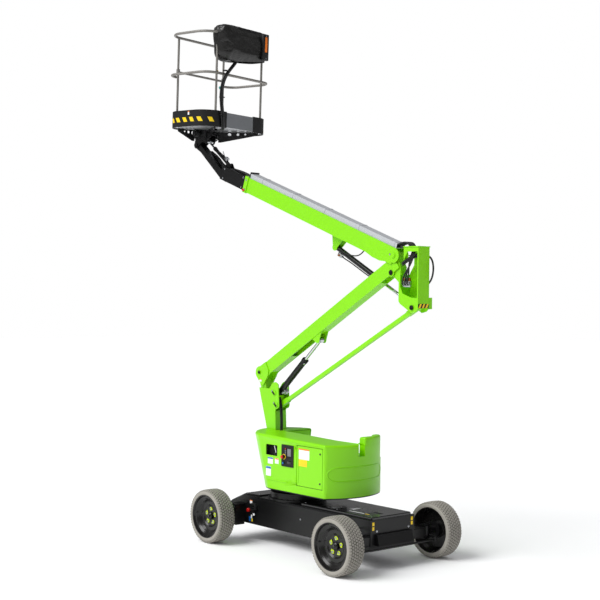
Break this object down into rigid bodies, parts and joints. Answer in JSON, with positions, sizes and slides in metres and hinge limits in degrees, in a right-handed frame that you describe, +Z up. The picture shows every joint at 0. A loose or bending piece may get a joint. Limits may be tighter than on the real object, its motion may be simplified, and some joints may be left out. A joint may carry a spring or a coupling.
{
  "type": "articulating boom lift",
  "caption": "Self-propelled articulating boom lift: a railed work platform on a folding two-part boom, above a slewing hooded turret and a four-wheel chassis.",
  "frame": {"origin": "on the ground, midway between the two axles and the two sides", "axes": "+X towards the platform end of the parked machine, +Y to its left side, +Z up"},
  "size_m": [4.0879, 1.7, 6.3302],
  "materials": {
    "boom_green": "semi-gloss lime green paint",
    "chassis_black": "satin black paint",
    "cover_green": "moulded lime green cover",
    "tyre": "light grey non-marking rubber",
    "rim": "satin black paint",
    "chrome": "hard chrome plating",
    "toe_black": "moulded black plastic",
    "panel_grey": "grey paint",
    "deck": "bare treadplate",
    "panel_black": "matt black",
    "steel": "bare cast weight",
    "battery": "battery cases",
    "rail_steel": "galvanised tube",
    "tray_grey": "light grey paint",
    "cover_black": "glossy black moulded cover",
    "cylinder_black": "satin black paint",
    "soft_cover": "coated black fabric",
    "wear_pad": "orange nylon"
  },
  "bodies": {
    "chassis": {"chassis_frame": "chassis_black", "chassis_covers": "cover_black", "drive_axle": "chassis_black", "steer_axle": "chassis_black", "slew_ring": "chassis_black", "battery_pack": "battery"},
    "wheel_front_left": {"tyre_front_left": "tyre", "rim_front_left": "rim"},
    "wheel_front_right": {"tyre_front_right": "tyre", "rim_front_right": "rim"},
    "wheel_rear_left": {"tyre_rear_left": "tyre", "rim_rear_left": "rim"},
    "wheel_rear_right": {"tyre_rear_right": "tyre", "rim_rear_right": "rim"},
    "steer_left": {"steer_knuckle_left": "chassis_black"},
    "steer_right": {"steer_knuckle_right": "chassis_black"},
    "tie_rod": {"steer_tie_rod": "chassis_black"},
    "turret": {"turntable": "chassis_black", "hood": "cover_green", "hood_slot": "cover_green", "control_panel": "panel_black", "power_pack": "steel", "counterweight": "steel", "post": "boom_green"},
    "door_left": {"door_left": "cover_green"},
    "door_right": {"door_right": "cover_green"},
    "lower_boom": {"lower_boom": "boom_green"},
    "lower_ram_barrel": {"lower_ram_barrel": "cylinder_black"},
    "lower_ram_rod": {"lower_ram_rod": "chrome"},
    "tie_link": {"tie_link": "boom_green"},
    "knuckle": {"knuckle": "boom_green"},
    "upper_boom": {"upper_boom": "boom_green", "boom_collar": "boom_green", "wear_ring": "wear_pad", "hose_tray": "tray_grey"},
    "upper_ram_barrel": {"upper_ram_barrel": "cylinder_black"},
    "upper_ram_rod": {"upper_ram_rod": "chrome"},
    "telescope": {"telescope": "chassis_black"},
    "level_ram_barrel": {"level_ram_barrel": "cylinder_black"},
    "level_ram_rod": {"level_ram_rod": "chrome"},
    "platform_bracket": {"platform_bracket": "chassis_black"},
    "platform": {"platform_support": "chassis_black", "deck": "deck", "toe_ends": "toe_black", "toe_panels": "panel_grey", "guard_rail": "rail_steel", "console": "panel_black", "console_cover": "soft_cover"},
    "entry_bar": {"entry_bar": "rail_steel"}
  },
  "joints": [
    {"name": "steer_left", "type": "hinge", "parent": "chassis", "child": "steer_left", "pos_m": [-1.0825, 0.59, 0.31], "axis": [0, 0, 1], "range_deg": [-40, 40]},
    {"name": "steer_right", "type": "hinge", "parent": "chassis", "child": "steer_right", "pos_m": [-1.0825, -0.59, 0.31], "axis": [0, 0, 1], "range_deg": [-40, 40]},
    {"name": "tie_rod_swing", "type": "hinge", "parent": "steer_left", "child": "tie_rod", "pos_m": [-1.2175, 0.59, 0.234], "axis": [0, 0, 1], "range_deg": [-40, 40]},
    {"name": "spin_front_left", "type": "hinge", "parent": "chassis", "child": "wheel_front_left", "pos_m": [1.0825, 0.7425, 0.31], "axis": [0, 1, 0], "continuous": true},
    {"name": "spin_front_right", "type": "hinge", "parent": "chassis", "child": "wheel_front_right", "pos_m": [1.0825, -0.7425, 0.31], "axis": [0, 1, 0], "continuous": true},
    {"name": "spin_rear_left", "type": "hinge", "parent": "steer_left", "child": "wheel_rear_left", "pos_m": [-1.0825, 0.7425, 0.31], "axis": [0, 1, 0], "continuous": true},
    {"name": "spin_rear_right", "type": "hinge", "parent": "steer_right", "child": "wheel_rear_right", "pos_m": [-1.0825, -0.7425, 0.31], "axis": [0, 1, 0], "continuous": true},
    {"name": "slew", "type": "hinge", "parent": "chassis", "child": "turret", "pos_m": [0.4, 0, 0.6], "axis": [0, 0, 1], "range_deg": [-177.5, 177.5]},
    {"name": "door_left_hinge", "type": "hinge", "parent": "turret", "child": "door_left", "pos_m": [-0.06, 0.4353, 1], "axis": [0, 0, -1], "range_deg": [0, 100]},
    {"name": "door_right_hinge", "type": "hinge", "parent": "turret", "child": "door_right", "pos_m": [-0.06, -0.4353, 1], "axis": [0, 0, 1], "range_deg": [0, 100]},
    {"name": "lower_boom_lift", "type": "hinge", "parent": "turret", "child": "lower_boom", "pos_m": [1.06, 0, 1.97], "axis": [0, 1, 0], "range_deg": [-35, 38]},
    {"name": "tie_link_swing", "type": "hinge", "parent": "turret", "child": "tie_link", "pos_m": [0.725, 0, 1.6], "axis": [0, 1, 0], "range_deg": [-35, 38]},
    {"name": "knuckle_swing", "type": "hinge", "parent": "lower_boom", "child": "knuckle", "pos_m": [-1.14, 0, 3.154], "axis": [0, 1, 0], "range_deg": [-38, 35]},
    {"name": "lower_ram_swing", "type": "hinge", "parent": "turret", "child": "lower_ram_barrel", "pos_m": [0.76, 0, 1.739], "axis": [0, 1, 0], "range_deg": [-37.41, 40.61]},
    {"name": "lower_ram_stroke", "type": "slide", "parent": "lower_ram_barrel", "child": "lower_ram_rod", "axis": [-0.7418, 0, 0.6707], "range_m": [-0.20117, 0.21841]},
    {"name": "upper_boom_lift", "type": "hinge", "parent": "knuckle", "child": "upper_boom", "pos_m": [-1.184, 0, 3.337], "axis": [0, 1, 0], "range_deg": [-50, 25]},
    {"name": "upper_ram_swing", "type": "hinge", "parent": "upper_boom", "child": "upper_ram_barrel", "pos_m": [-0.095, -0.113, 3.455], "axis": [0, 1, 0], "range_deg": [-7.52, 15.04]},
    {"name": "upper_ram_stroke", "type": "slide", "parent": "upper_ram_barrel", "child": "upper_ram_rod", "axis": [-0.8805, 0, -0.4741], "range_m": [-0.15537, 0.31074]},
    {"name": "telescope_slide", "type": "slide", "parent": "upper_boom", "child": "telescope", "axis": [0.9397, 0, 0.342], "range_m": [0, 1.9]},
    {"name": "level_ram_swing", "type": "hinge", "parent": "telescope", "child": "level_ram_barrel", "pos_m": [1.78988, 0, 4.51995], "axis": [0, 1, 0], "range_deg": [-8.75, 4.38]},
    {"name": "level_ram_stroke", "type": "slide", "parent": "level_ram_barrel", "child": "level_ram_rod", "axis": [0.7899, 0, 0.6133], "range_m": [-0.06251, 0.12501]},
    {"name": "platform_level", "type": "hinge", "parent": "telescope", "child": "platform_bracket", "pos_m": [2.42488, 0, 4.82995], "axis": [0, 1, 0], "range_deg": [-25, 50]},
    {"name": "platform_rotate", "type": "hinge", "parent": "platform_bracket", "child": "platform", "pos_m": [2.31488, 0, 4.93195], "axis": [-0.0279, 0, 0.9996], "range_deg": [-100.6, 79.4]},
    {"name": "entry_bar_lift", "type": "slide", "parent": "platform", "child": "entry_bar", "axis": [-0.0279, 0, 0.9996], "range_m": [0, 0.38]}
  ],
  "couplings": [
    {"joint": "steer_right", "follows": "steer_left", "ratio": 1},
    {"joint": "tie_rod_swing", "follows": "steer_left", "ratio": -1},
    {"joint": "tie_link_swing", "follows": "lower_boom_lift", "ratio": 1},
    {"joint": "knuckle_swing", "follows": "lower_boom_lift", "ratio": -1},
    {"joint": "lower_ram_swing", "follows": "lower_boom_lift", "ratio": 1.0687},
    {"joint": "lower_ram_stroke", "follows": "lower_boom_lift", "m_per_rad": 0.3293},
    {"joint": "upper_ram_swing", "follows": "upper_boom_lift", "ratio": -0.30086},
    {"joint": "upper_ram_stroke", "follows": "upper_boom_lift", "m_per_rad": -0.35607},
    {"joint": "platform_level", "follows": "upper_boom_lift", "ratio": -1},
    {"joint": "level_ram_swing", "follows": "upper_boom_lift", "ratio": 0.175},
    {"joint": "level_ram_stroke", "follows": "upper_boom_lift", "m_per_rad": -0.14324}
  ]
}
